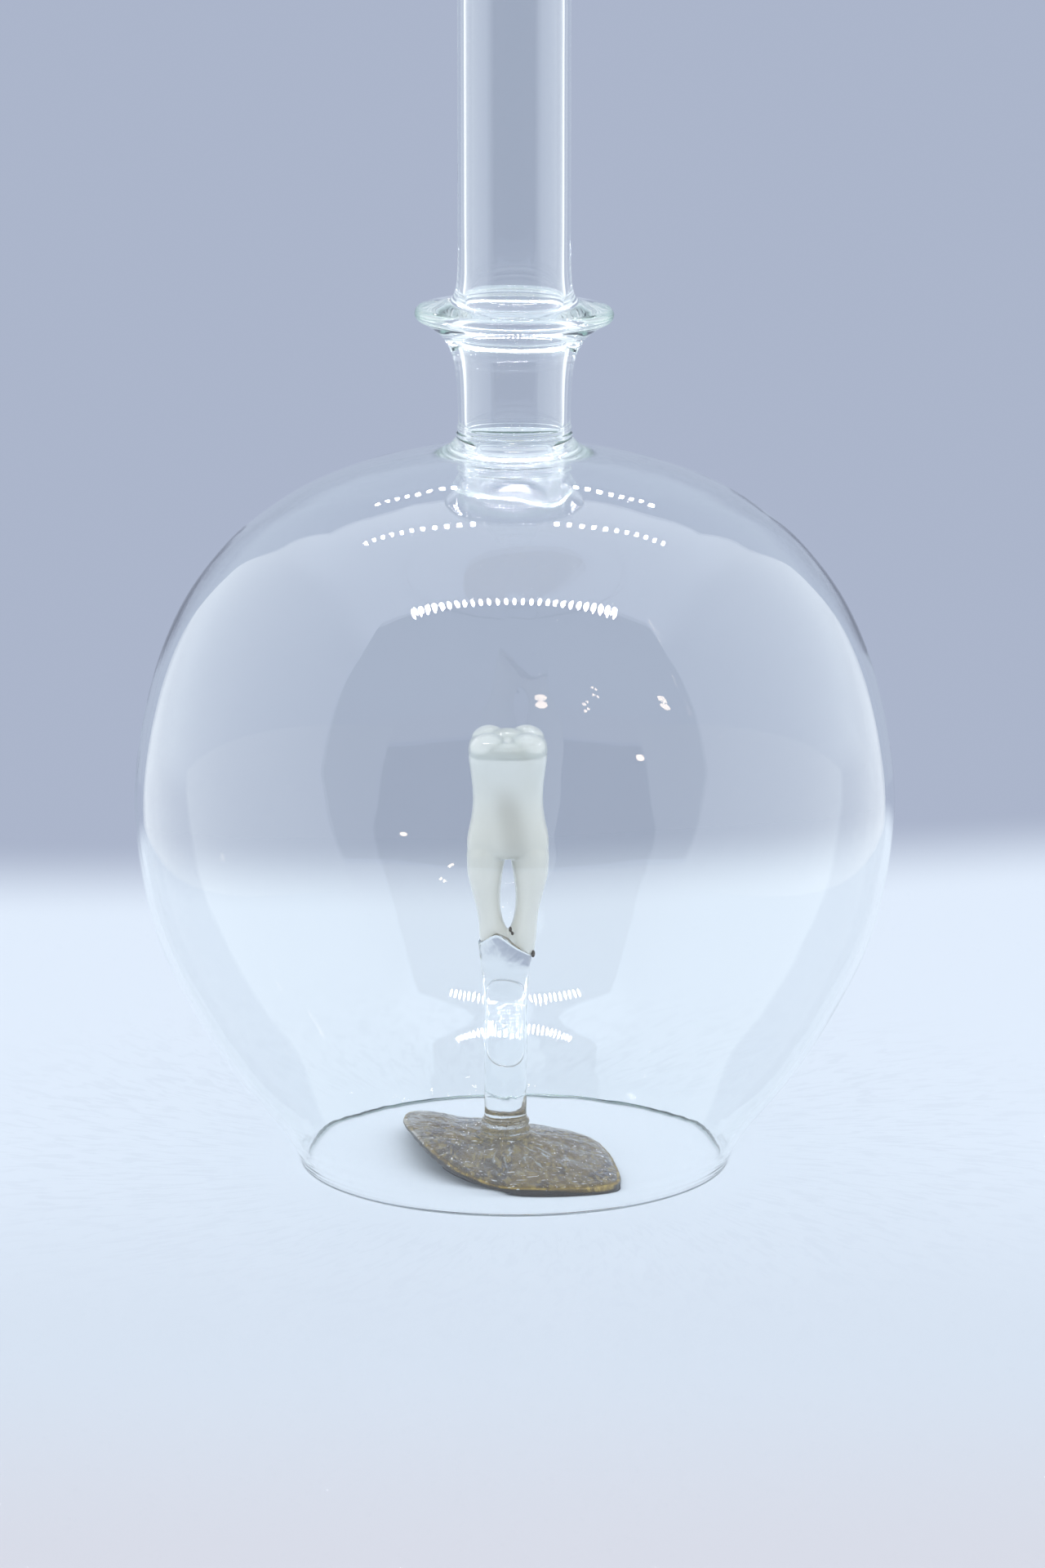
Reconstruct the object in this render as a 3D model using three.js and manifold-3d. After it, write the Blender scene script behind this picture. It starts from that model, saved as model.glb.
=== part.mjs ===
// A blown-glass cloche: a globe that is open at its foot, with a waisted neck, a collar ring and
// a tall hollow tube above it. It stands over an opal-glass molar on a clear stem and a brown
// oval foot. Millimetres, +Z up. The origin is the centre of the rim circle, on the surface
// that the cloche and the foot stand on.
import * as THREE from "three";
import { mergeVertices } from "three/addons/utils/BufferGeometryUtils.js";
import Module from "manifold-3d";

const wasm = await Module();
wasm.setup();

// ---- Driving dimensions of the cloche ----
const GAP = 0.3; // between neighbouring sections of glass
const RIM_R = 43.3; // outside of the rim near its lower edge
const RIM_TOP_R = 45.4; // and at its top, where the globe starts
const RIM_WALL = 2.3;
const RIM_H = 5.2;
const GLOBE_R = 75.4; // outside, at the equator
const GLOBE_Z = 74; // height of the equator
const SHOULDER_Z = 144.6; // top of the flattened shoulder, at the neck
const BAND_NAMES = ["globe_foot", "globe_lower", "globe_upper", "globe_shoulder", "globe_crown"];
const BAND_TOPS = [38, 74, 106, 128]; // the globe is built in level bands, lowest first
const TUBE_R = 11; // outside of the 22 mm tube
const BORE_R = 9.4;
const COLLAR_R = 19.5;
const COLLAR_Z = 170.4; // mid-height of the collar ring
const COLLAR_H = 3.6;
const TOP_Z = 260;
const LIP_H = 2.6;
const DRIP_Z = 135.4; // lower end of the sleeve that hangs inside the shoulder

// ---- Driving dimensions of the stand ----
const STEM_X = -1.8; // the stand stands a little off the cloche's axis
const TOOTH_X = -1.3;
const FOOT_CENTRE = new THREE.Vector3(-0.9, -1.7, 0);
const FOOT_EDGE = 1.2; // thickness at the edge, and how much more in the middle
const FOOT_CROWN = 2.2;
const FOOT_SLOPE = 0.28; // the left side curls up from a fold line through FOLD
const FOLD = new THREE.Vector2(-3, -24);
const FOLD_ANGLE = 1.75; // direction of the fold line, from +X
const PUDDLE_SHARE = 0.8; // size of the clear puddle against the foot
const STEM_R = 4.3;
const SOCKET_R = 5.45;
const STEM_Z = 7.6; // lower end of the plain stem
const SOCKET_Z = 30;
const BUBBLE_R = 2.6; // a long bubble runs up the stem into the socket
const BUBBLE_Z = [21, 36.5];
const ROOF = [[-8, 43.3], [-3.6, 47], [8, 38.4]]; // x, z of the ridge that the roots sit on
const FORK_Z = 61.6; // where the two roots part
const CAP_Z = 83; // lower edge of the clear cap on the crown
const TOOTH_TOP = 87.3;

const SEGMENTS = 52; // round the axis, on the large turned pieces
const FINE = 28; // and on the small ones

// ---- Materials ----
const glass = (color, opacity) =>
  new THREE.MeshStandardMaterial({ color, roughness: 0.03, metalness: 0, transparent: true, opacity });
const clearGlass = glass(0xf2f8fa, 0.3);
const edgeGlass = glass(0xcfe0d6, 0.45);
const opalGlass = new THREE.MeshStandardMaterial({ color: 0xdfe3e0, roughness: 0.2, metalness: 0 });
const brownGlass = new THREE.MeshStandardMaterial({ color: 0x6f5a3c, roughness: 0.15, metalness: 0 });

const object = new THREE.Group();

function add(name, geometry, material, x = 0, y = 0, z = 0) {
  const mesh = new THREE.Mesh(geometry, material);
  mesh.name = name;
  mesh.position.set(x, y, z);
  object.add(mesh);
}

// ---- Geometry helpers ----
const vec = (pairs) => pairs.map(([r, z]) => new THREE.Vector2(r, z));

// Points along a smooth curve through the given radius and height pairs.
function curve(pairs, count) {
  return new THREE.SplineCurve(vec(pairs)).getPoints(count);
}

function signedArea(points) {
  return points.reduce((sum, a, i) => {
    const b = points[(i + 1) % points.length];
    return sum + (a.x * b.y - b.x * a.y) / 2;
  }, 0);
}

// Turns a closed outline of radius and height about Z.
function turned(points, segments) {
  const outline = signedArea(points) > 0 ? points.slice() : points.slice().reverse();
  outline.push(outline[0].clone());
  return new THREE.LatheGeometry(outline, segments).rotateX(Math.PI / 2);
}

// A hollow section: one curve outside, one inside, both given from the bottom up.
const sleeve = (outside, inside, segments) => turned([...outside, ...inside.reverse()], segments);

// A stack of closed loops of equal length, with a cap on each end, as one closed body.
function lofted(loops) {
  const n = loops[0].length;
  const points = loops.flat();
  const faces = [];
  for (let k = 0; k + 1 < loops.length; k++)
    for (let i = 0; i < n; i++) {
      const [a, b] = [k * n + i, k * n + ((i + 1) % n)];
      faces.push(a, b, b + n, a, b + n, a + n);
    }
  for (const [first, flip] of [[0, true], [(loops.length - 1) * n, false]]) {
    const loop = points.slice(first, first + n);
    const middle = loop.reduce((sum, p) => sum.add(p), new THREE.Vector3()).divideScalar(n);
    points.push(middle);
    for (let i = 0; i < n; i++) {
      const [a, b] = [first + i, first + ((i + 1) % n)];
      faces.push(...(flip ? [b, a] : [a, b]), points.length - 1);
    }
  }
  const geometry = new THREE.BufferGeometry().setFromPoints(points);
  return geometry.setIndex(faces);
}

// One loop of a rounded section. squareness 1 is an ellipse, and less is boxier.
function section(x, z, halfWidth, halfDepth, squareness = 1, count = FINE) {
  return Array.from({ length: count }, (_, i) => {
    const a = (i / count) * 2 * Math.PI;
    const bulge = (v) => Math.sign(v) * Math.abs(v) ** squareness;
    return new THREE.Vector3(x + halfWidth * bulge(Math.cos(a)), halfDepth * bulge(Math.sin(a)), z);
  });
}

// three.js geometry to a manifold-3d solid and back.
function solid(geometry) {
  const bare = geometry.clone();
  for (const name of ["normal", "uv"]) bare.deleteAttribute(name);
  const merged = mergeVertices(bare, 1e-4);
  return new wasm.Manifold(
    new wasm.Mesh({
      numProp: 3,
      vertProperties: new Float32Array(merged.attributes.position.array),
      triVerts: new Uint32Array(merged.index.array),
    }),
  );
}

function geometryOf(manifold) {
  const mesh = manifold.getMesh();
  const geometry = new THREE.BufferGeometry();
  geometry.setAttribute("position", new THREE.BufferAttribute(mesh.vertProperties, 3));
  return geometry.setIndex(new THREE.BufferAttribute(mesh.triVerts, 1));
}

// ---- Cloche ----
function rimRing() {
  const outside = curve([[RIM_R - 0.9, 0], [RIM_R - 0.1, 1], [RIM_R + 0.7, 2.9], [RIM_TOP_R, RIM_H]], 5);
  const inner = RIM_R - RIM_WALL;
  const inside = curve([[inner + 0.3, 0], [inner + 0.2, 1.1], [RIM_TOP_R - RIM_WALL, RIM_H]], 5);
  add("rim_ring", sleeve(outside, inside, SEGMENTS), edgeGlass);
}

// The globe's outside is nearly a sphere, drawn in to the rim below and flattened at the shoulder.
const GLOBE = curve(
  [
    [RIM_TOP_R + 0.2, RIM_H + GAP],
    [48.7, 10],
    [56.7, 20],
    [64.1, 32],
    [70.7, 46],
    [74.1, 60],
    [GLOBE_R, GLOBE_Z],
    [73.8, 88],
    [70.2, 102],
    [64.7, 114],
    [57, 124],
    [43, 134.3],
    [28, 139.5],
    [TUBE_R + 4, SHOULDER_Z - 2],
    [TUBE_R + GAP, SHOULDER_Z],
  ],
  28,
);

// The wall is thin over most of the globe, and thicker where the shoulder was worked.
function wall(z) {
  const rise = THREE.MathUtils.smoothstep;
  return 1.5 + rise(z, 92, 124) - 0.6 * rise(z, 134, 142);
}

function globeInside() {
  const last = GLOBE.length - 1;
  const inside = GLOBE.map((p, i) => {
    const along = GLOBE[Math.min(i + 1, last)].clone().sub(GLOBE[Math.max(i - 1, 0)]).normalize();
    return new THREE.Vector2(p.x - along.y * wall(p.y), p.y + along.x * wall(p.y));
  });
  inside[0].set(RIM_TOP_R + 0.2 - RIM_WALL, RIM_H + GAP);
  const kept = inside.filter((p) => p.x > TUBE_R + GAP && p.y >= RIM_H + GAP);
  return [...kept, new THREE.Vector2(TUBE_R + GAP, SHOULDER_Z - wall(SHOULDER_Z) - 0.4)];
}

// The stretch of a rising curve between two heights, with its ends on them.
function between(points, low, high) {
  const at = (z) => {
    const i = points.findIndex((p) => p.y >= z);
    if (i <= 0) return i ? points.at(-1) : points[0];
    const share = (z - points[i - 1].y) / (points[i].y - points[i - 1].y);
    return points[i - 1].clone().lerp(points[i], share);
  };
  const near = 0.05;
  return [at(low), ...points.filter((p) => p.y > low + near && p.y < high - near), at(high)];
}

// The globe in level bands, each a ring of glass that follows the sphere.
function globeBands() {
  const inside = globeInside();
  const levels = [RIM_H + GAP, ...BAND_TOPS, SHOULDER_Z];
  BAND_NAMES.forEach((name, i) => {
    const low = levels[i] + (i ? GAP : 0);
    const band = [between(GLOBE, low, levels[i + 1]), between(inside, low, levels[i + 1])];
    add(name, sleeve(...band, SEGMENTS), clearGlass);
  });
}

// The neck's tube goes through the shoulder and ends inside it in a rippled, flared sleeve.
function dripSleeve() {
  const [outer, top] = [TUBE_R, SHOULDER_Z + GAP];
  const outside = curve(
    [[outer + 1.7, DRIP_Z], [outer + 0.9, DRIP_Z + 1.2], [outer - 0.2, DRIP_Z + 3], [outer - 0.1, top - GAP]],
    7,
  );
  const inside = curve([[BORE_R + 1.2, DRIP_Z], [BORE_R, DRIP_Z + 2.4], [BORE_R, top - GAP]], 4);
  add("drip_sleeve", sleeve(outside, inside, FINE), clearGlass);
}

function neckTube() {
  const bottom = SHOULDER_Z + GAP;
  const top = COLLAR_Z - COLLAR_H / 2 - GAP - 0.6;
  const outside = curve(
    [
      [TUBE_R + 1.4, bottom],
      [TUBE_R + 0.4, bottom + 2],
      [TUBE_R + 0.15, bottom + 6],
      [TUBE_R + 0.4, top - 9],
      [TUBE_R + 1.5, top - 4],
      [TUBE_R + 3.6, top],
    ],
    11,
  );
  const inside = curve([[BORE_R, bottom], [BORE_R - 0.2, bottom + 8], [BORE_R + 1, top]], 5);
  add("neck_tube", sleeve(outside, inside, FINE), clearGlass);
}

// A solid ring with a round edge, thicker at its hub than at the edge.
function collarRing() {
  const [half, hub, edge] = [COLLAR_H / 2, COLLAR_H / 2 + 0.6, 1.7];
  const rim = Array.from({ length: 7 }, (_, i) => {
    const a = (i / 3 - 1) * (Math.PI / 2);
    return new THREE.Vector2(COLLAR_R - edge + edge * Math.cos(a), COLLAR_Z + half * Math.sin(a));
  });
  const outline = [
    ...vec([[BORE_R + 0.9, COLLAR_Z - hub], [TUBE_R + 3.2, COLLAR_Z - hub]]),
    ...rim,
    ...vec([[TUBE_R + 2.4, COLLAR_Z + hub], [BORE_R + 0.7, COLLAR_Z + hub]]),
  ];
  add("collar_ring", turned(outline, SEGMENTS), edgeGlass);
}

function upperTube() {
  const bottom = COLLAR_Z + COLLAR_H / 2 + 0.6 + GAP;
  const top = TOP_Z - LIP_H - GAP;
  const outside = [
    ...curve([[TUBE_R + 2, bottom], [TUBE_R + 0.7, bottom + 2], [TUBE_R + 0.1, bottom + 6]], 6),
    ...vec([[TUBE_R, bottom + 10], [TUBE_R, top]]),
  ];
  const inside = [
    ...curve([[BORE_R + 0.7, bottom], [BORE_R + 0.1, bottom + 4]], 2),
    ...vec([[BORE_R, bottom + 8], [BORE_R, top]]),
  ];
  add("upper_tube", sleeve(outside, inside, FINE), clearGlass);
}

// A fire-polished bead, flat on top where a stopper or a hose adapter would rest.
function lipRing() {
  const bottom = TOP_Z - LIP_H;
  const outside = curve([[TUBE_R, bottom], [TUBE_R + 0.8, bottom + 1.2], [TUBE_R + 0.1, TOP_Z]], 6);
  const inside = curve([[BORE_R, bottom], [BORE_R - 0.2, bottom + 1.2], [BORE_R + 0.3, TOP_Z]], 4);
  add("lip_ring", sleeve(outside, inside, FINE), clearGlass);
}

// ---- Stand ----
// The foot's outline, anticlockwise from its right-hand side: a lopsided oval.
const FOOT_OUTLINE = new THREE.CatmullRomCurve3(
  [
    [18.8, -0.5],
    [11.3, 12.4],
    [-0.5, 19.3],
    [-12, 22.6],
    [-20.2, 18.8],
    [-22.6, 8],
    [-18.4, -7.3],
    [-11, -18.6],
    [-2.6, -24.6],
    [8, -26.3],
    [18.2, -24.6],
    [21, -17],
  ].map(([x, y]) => new THREE.Vector3(x, y, 0)),
  true,
);

function lift(x, y) {
  const across = (x - FOLD.x) * Math.sin(FOLD_ANGLE) - (y - FOLD.y) * Math.cos(FOLD_ANGLE);
  return FOOT_SLOPE * Math.max(0, -across);
}

const footTop = (x, y, share) => lift(x, y) + FOOT_EDGE + FOOT_CROWN * (1 - share ** 2);

// Loops from the middle of the underside, out to the edge, and back over the top. A loop's share
// is 0 in the middle of the foot and 1 at its edge.
function ovalSlab(shares, under, over, count) {
  const rim = FOOT_OUTLINE.getSpacedPoints(count).slice(0, count);
  const loop = (share, height) =>
    rim.map((edge) => {
      const point = FOOT_CENTRE.clone().lerp(edge, share);
      return point.setZ(height(point.x, point.y, share));
    });
  return lofted([
    ...shares.map((share) => loop(share, under)),
    ...shares.toReversed().map((share) => loop(share, over)),
  ]);
}

function footPlate() {
  const shares = [0.25, 0.5, 0.72, 0.88, 1];
  add("foot_plate", ovalSlab(shares, lift, footTop, 40), brownGlass);
}

// A clear puddle of glass that ran out from the stem over the foot, with a wavy top.
function footPuddle() {
  const shares = [0.15, 0.35, 0.58, 0.8, 1].map((share) => share * PUDDLE_SHARE);
  const under = (x, y, share) => footTop(x, y, share) + GAP;
  const over = (x, y, share) => {
    const inward = 1 - share / PUDDLE_SHARE;
    const wave = 0.15 * Math.sin(0.55 * x + 0.8) * Math.cos(0.45 * y);
    return under(x, y, share) + 0.35 + 1.0 * inward + wave * Math.min(1, 3 * inward);
  };
  add("foot_puddle", ovalSlab(shares, under, over, 32), clearGlass);
}

// Two rounded rings, one on the other, where the stem was pressed down on the puddle.
function stemCollar() {
  const bottom = footTop(STEM_X, 0, 0) + 1.5 + GAP;
  const top = STEM_Z - GAP;
  const middle = (bottom + top) / 2;
  const outline = vec([
    [0, bottom],
    [STEM_R + 0.3, bottom],
    [STEM_R + 0.8, (bottom + middle) / 2],
    [STEM_R + 0.25, middle],
    [STEM_R + 0.55, (middle + top) / 2],
    [STEM_R + 0.1, top],
    [0, top],
  ]);
  add("stem_collar", new THREE.LatheGeometry(outline, FINE).rotateX(Math.PI / 2), clearGlass, STEM_X);
}

function stemRod() {
  const [top, dip] = [SOCKET_Z - GAP, BUBBLE_Z[0]];
  const outline = vec([
    [0, STEM_Z],
    [STEM_R, STEM_Z],
    [STEM_R, top],
    [BUBBLE_R, top],
    [BUBBLE_R, dip + 2.4],
    [BUBBLE_R * 0.6, dip + 0.7],
    [0, dip],
  ]);
  add("stem_rod", new THREE.LatheGeometry(outline, FINE).rotateX(Math.PI / 2), clearGlass, STEM_X);
}

// The upper part of the bubble, to cut out of the socket.
function bubble() {
  const [below, top] = [SOCKET_Z - 1, BUBBLE_Z[1]];
  const outline = vec([
    [0, below],
    [BUBBLE_R, below],
    [BUBBLE_R, top - 2.4],
    [BUBBLE_R * 0.6, top - 0.7],
    [0, top],
  ]);
  return solid(new THREE.LatheGeometry(outline, 16).rotateX(Math.PI / 2).translate(STEM_X, 0, 0));
}

// Everything under the ridge that the roots straddle, raised by a given height.
function underRoof(raise) {
  const shape = new THREE.Shape();
  const base = 10;
  const [start, , end] = ROOF;
  shape.moveTo(start[0], base);
  shape.lineTo(end[0], base);
  for (const [x, z] of ROOF.toReversed()) shape.lineTo(x, z + raise);
  const depth = 20;
  const prism = new THREE.ExtrudeGeometry(shape, { depth, bevelEnabled: false });
  return solid(prism.translate(0, 0, -depth / 2).rotateX(Math.PI / 2));
}

function rootSocket() {
  const loops = [
    [SOCKET_Z, STEM_R, STEM_R],
    [SOCKET_Z + 5, STEM_R + 0.3, STEM_R + 0.1],
    [SOCKET_Z + 11, STEM_R + 0.9, STEM_R + 0.2],
    [SOCKET_Z + 18, SOCKET_R, STEM_R + 0.2],
  ].map(([z, width, depth]) => section(0, z, width, depth));
  const blank = solid(lofted(loops).translate(STEM_X, 0, 0));
  add("root_socket", geometryOf(blank.intersect(underRoof(0)).subtract(bubble())), clearGlass);
}

// Height, half width and half depth of the molar, from the fork up.
const CROWN = [
  [FORK_Z - 3, 7.9, 4.8],
  [FORK_Z, 8.3, 6.2],
  [66, 8.0, 6.6],
  [70, 7.2, 6.5],
  [74.2, 6.95, 6.4],
  [78.6, 7.35, 6.8],
  [82.6, 7.85, 7.3],
  [84.8, 7.7, 7.1],
  [TOOTH_TOP - 1.1, 6.7, 6.1],
];

// Height, offset from the tooth's middle, half width and half depth of one root.
const ROOT = [
  [38, 2.5, 2.6, 3.2],
  [45.6, 2.75, 2.9, 3.5],
  [48.2, 3.35, 2.45, 3.6],
  [51, 3.85, 2.35, 3.9],
  [54.4, 4.3, 2.8, 4.4],
  [58, 4.6, 3.4, 5],
  [FORK_Z + 1, 4.4, 3.9, 5.6],
];

// The crown and trunk, with a cusp at each corner and a low dome between the cusps.
function crownSolid() {
  let crown = solid(lofted(CROWN.map(([z, width, depth]) => section(TOOTH_X, z, width, depth, 0.8))));
  const corners = [[-1, -1], [-1, 1], [1, -1], [1, 1]];
  for (const [side, back] of [...corners, [0, 0]]) {
    const cusp = new THREE.SphereGeometry(1, 14, 8).scale(3.4, 3.1, 2.3);
    cusp.translate(TOOTH_X + side * 3.6, back * 3.3, TOOTH_TOP - 2.3);
    crown = crown.add(solid(cusp));
  }
  return crown;
}

// Everything under the opal core's domed top, raised by a given height.
function underDome(raise) {
  const loops = [
    [-40, 12],
    [0, 12],
    [0.2, 7],
    [1.2, 5.6],
    [2, 3.4],
    [2.4, 0.8],
  ];
  return solid(lofted(loops.map(([z, r]) => section(TOOTH_X, CAP_Z + raise + z, r, r, 1, 20))));
}

function molarTooth() {
  const fork = new THREE.CylinderGeometry(1.5, 1.5, 30, 16).scale(1, 1, 2.4);
  fork.translate(TOOTH_X, 0, FORK_Z - 3.4);
  let tooth = crownSolid().intersect(underDome(0)).subtract(solid(fork));
  for (const side of [-1, 1]) {
    const root = lofted(
      ROOT.map(([z, offset, width, depth]) => section(TOOTH_X + side * offset, z, width, depth, 1, 20)),
    );
    tooth = tooth.add(solid(root));
  }
  add("molar_tooth", geometryOf(tooth.subtract(underRoof(GAP))), opalGlass);
}

function crownCap() {
  add("crown_cap", geometryOf(crownSolid().subtract(underDome(GAP))), clearGlass);
}

for (const make of [
  rimRing,
  globeBands,
  dripSleeve,
  neckTube,
  collarRing,
  upperTube,
  lipRing,
  footPlate,
  footPuddle,
  stemCollar,
  stemRod,
  rootSocket,
  molarTooth,
  crownCap,
])
  make();

export default object;
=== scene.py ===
"""Looks for a blown-glass cloche that stands over an opal-glass molar on a clear stem and a brown
foot. The cloche's eleven CAD nodes are one fused piece of glass here, and so are the stem's four.
Sizes are in millimetres and become metres where a mesh is made. Shaders work in metres."""
import math

import bmesh
import bpy
import numpy as np
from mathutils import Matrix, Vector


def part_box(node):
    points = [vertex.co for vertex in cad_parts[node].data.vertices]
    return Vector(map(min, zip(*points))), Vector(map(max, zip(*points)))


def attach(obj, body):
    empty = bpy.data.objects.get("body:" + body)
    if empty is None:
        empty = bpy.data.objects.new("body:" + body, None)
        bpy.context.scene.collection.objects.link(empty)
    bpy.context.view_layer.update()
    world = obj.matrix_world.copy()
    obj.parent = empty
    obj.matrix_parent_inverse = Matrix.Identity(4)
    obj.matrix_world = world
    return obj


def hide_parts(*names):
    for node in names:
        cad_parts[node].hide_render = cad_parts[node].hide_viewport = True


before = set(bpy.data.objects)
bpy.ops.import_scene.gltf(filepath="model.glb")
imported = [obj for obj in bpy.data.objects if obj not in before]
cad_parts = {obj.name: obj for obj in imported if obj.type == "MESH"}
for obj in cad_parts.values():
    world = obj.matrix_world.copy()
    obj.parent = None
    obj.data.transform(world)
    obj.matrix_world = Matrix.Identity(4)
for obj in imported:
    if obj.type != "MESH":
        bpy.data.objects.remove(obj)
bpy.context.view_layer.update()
MM = 0.001


def edge(node, axis, high=True):
    """A face of a CAD node's box, in millimetres."""
    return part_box(node)[1 if high else 0][axis] / MM


# ---- Driving dimensions, from the frame ----
TOP_Z = edge("lip_ring", 2)
LIP_Z = edge("lip_ring", 2, False)
COLLAR_R = edge("collar_ring", 0)
COLLAR_Z = (edge("collar_ring", 2) + edge("collar_ring", 2, False)) / 2
GLOBE_R = edge("globe_upper", 0)
RIM_TOP_R = edge("rim_ring", 0)
RIM_R = RIM_TOP_R - 2.1  # the rim draws in towards its lower edge
DRIP_Z = edge("drip_sleeve", 2, False)
STEM_X = (edge("stem_rod", 0) + edge("stem_rod", 0, False)) / 2
TOOTH_X = (edge("molar_tooth", 0) + edge("molar_tooth", 0, False)) / 2
CROWN_Z = edge("crown_cap", 2)
TUBE_R = 11.0  # laboratory tube, outside and inside
BORE_R = 9.4
COLLAR_TILT = 0.011  # the collar dips a little to the right

# ---- Camera ----
CAMERA_AT = (0.0016, -1.1991, 0.3532)
CAMERA_PITCH = 13.0
CAMERA_LENS = 142.5
SENSOR_WIDTH = 36


# ---- Curves and meshes ----
def spline(points, steps, closed=False):
    """Catmull-Rom through the points, with a number of steps between each two."""
    p = np.array(points, float)
    n = len(p)
    spans = n if closed else n - 1
    out = []
    for i in range(spans):
        if closed:
            a, b, c, d = (p[(i + k) % n] for k in (-1, 0, 1, 2))
        else:
            a, b, c, d = (p[min(max(i + k, 0), n - 1)] for k in (-1, 0, 1, 2))
        for s in range(steps):
            t = s / steps
            out.append(
                0.5 * (2 * b + (c - a) * t + (2 * a - 5 * b + 4 * c - d) * t**2
                       + (3 * b - a - 3 * c + d) * t**3)
            )
    if not closed:
        out.append(p[-1])
    return np.array(out)


def smooth(x, low, high):
    """0 below low, 1 above high, smooth between."""
    t = np.clip((np.asarray(x, float) - low) / (high - low), 0, 1)
    return t * t * (3 - 2 * t)


def make_object(name, points, faces, material):
    """A smooth-shaded mesh from points in millimetres, with its faces turned outwards."""
    mesh = bpy.data.meshes.new(name)
    mesh.from_pydata([tuple(float(c) * MM for c in p) for p in points], [], faces)
    body = bmesh.new()
    body.from_mesh(mesh)
    bmesh.ops.recalc_face_normals(body, faces=body.faces)
    body.to_mesh(mesh)
    body.free()
    mesh.shade_smooth()
    mesh.materials.append(material)
    obj = bpy.data.objects.new(name, mesh)
    bpy.context.scene.collection.objects.link(obj)
    return obj


def grid_faces(rows, columns, wrap_rows=False):
    """Quads over a grid of points whose columns close into loops."""
    faces = []
    for r in range(rows if wrap_rows else rows - 1):
        below, above = r * columns, ((r + 1) % rows) * columns
        for c in range(columns):
            d = (c + 1) % columns
            faces.append((below + c, below + d, above + d, above + c))
    return faces


def lofted(loops):
    """Points and faces of a closed body from loops of equal length."""
    columns = len(loops[0])
    points = [tuple(p) for loop in loops for p in loop]
    faces = grid_faces(len(loops), columns)
    faces.append(tuple(range(columns)))
    faces.append(tuple(range(len(points) - columns, len(points))))
    return points, faces


def turned(profile, segments, shape=None):
    """Points and faces of a closed outline of radius and height turned about Z. shape, if given,
    moves the points: it takes x, y, z, radius and angle, and gives x, y, z."""
    angle = np.arange(segments) / segments * 2 * math.pi
    r, z = profile[:, 0:1], profile[:, 1:2]
    x, y, z = r * np.cos(angle), r * np.sin(angle), z + 0 * angle
    if shape:
        x, y, z = shape(x, y, z, r + 0 * angle, angle + 0 * r)
    points = np.stack([x, y, z], -1).reshape(-1, 3)
    return points, grid_faces(len(profile), segments, wrap_rows=True)


def joined(parts):
    """Points and faces of several bodies as one list of each."""
    points, faces = [], []
    for part_points, part_faces in parts:
        first = len(points)
        points += [tuple(p) for p in part_points]
        faces += [tuple(first + i for i in face) for face in part_faces]
    return points, faces


def fused(name, parts, voxel, rounds, material):
    """Several closed bodies melted into one: joined, remeshed at a voxel in millimetres, smoothed."""
    rough = make_object(name + "_rough", *joined(parts), material)
    remesh = rough.modifiers.new("remesh", "REMESH")
    remesh.mode = "VOXEL"
    remesh.voxel_size = voxel * MM
    soften = rough.modifiers.new("soften", "SMOOTH")
    soften.factor = 0.5
    soften.iterations = rounds
    evaluated = rough.evaluated_get(bpy.context.evaluated_depsgraph_get())
    mesh = bpy.data.meshes.new_from_object(evaluated)
    bpy.data.objects.remove(rough)
    mesh.name = name
    mesh.shade_smooth()
    mesh.materials.clear()
    mesh.materials.append(material)
    obj = bpy.data.objects.new(name, mesh)
    bpy.context.scene.collection.objects.link(obj)
    return obj


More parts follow.
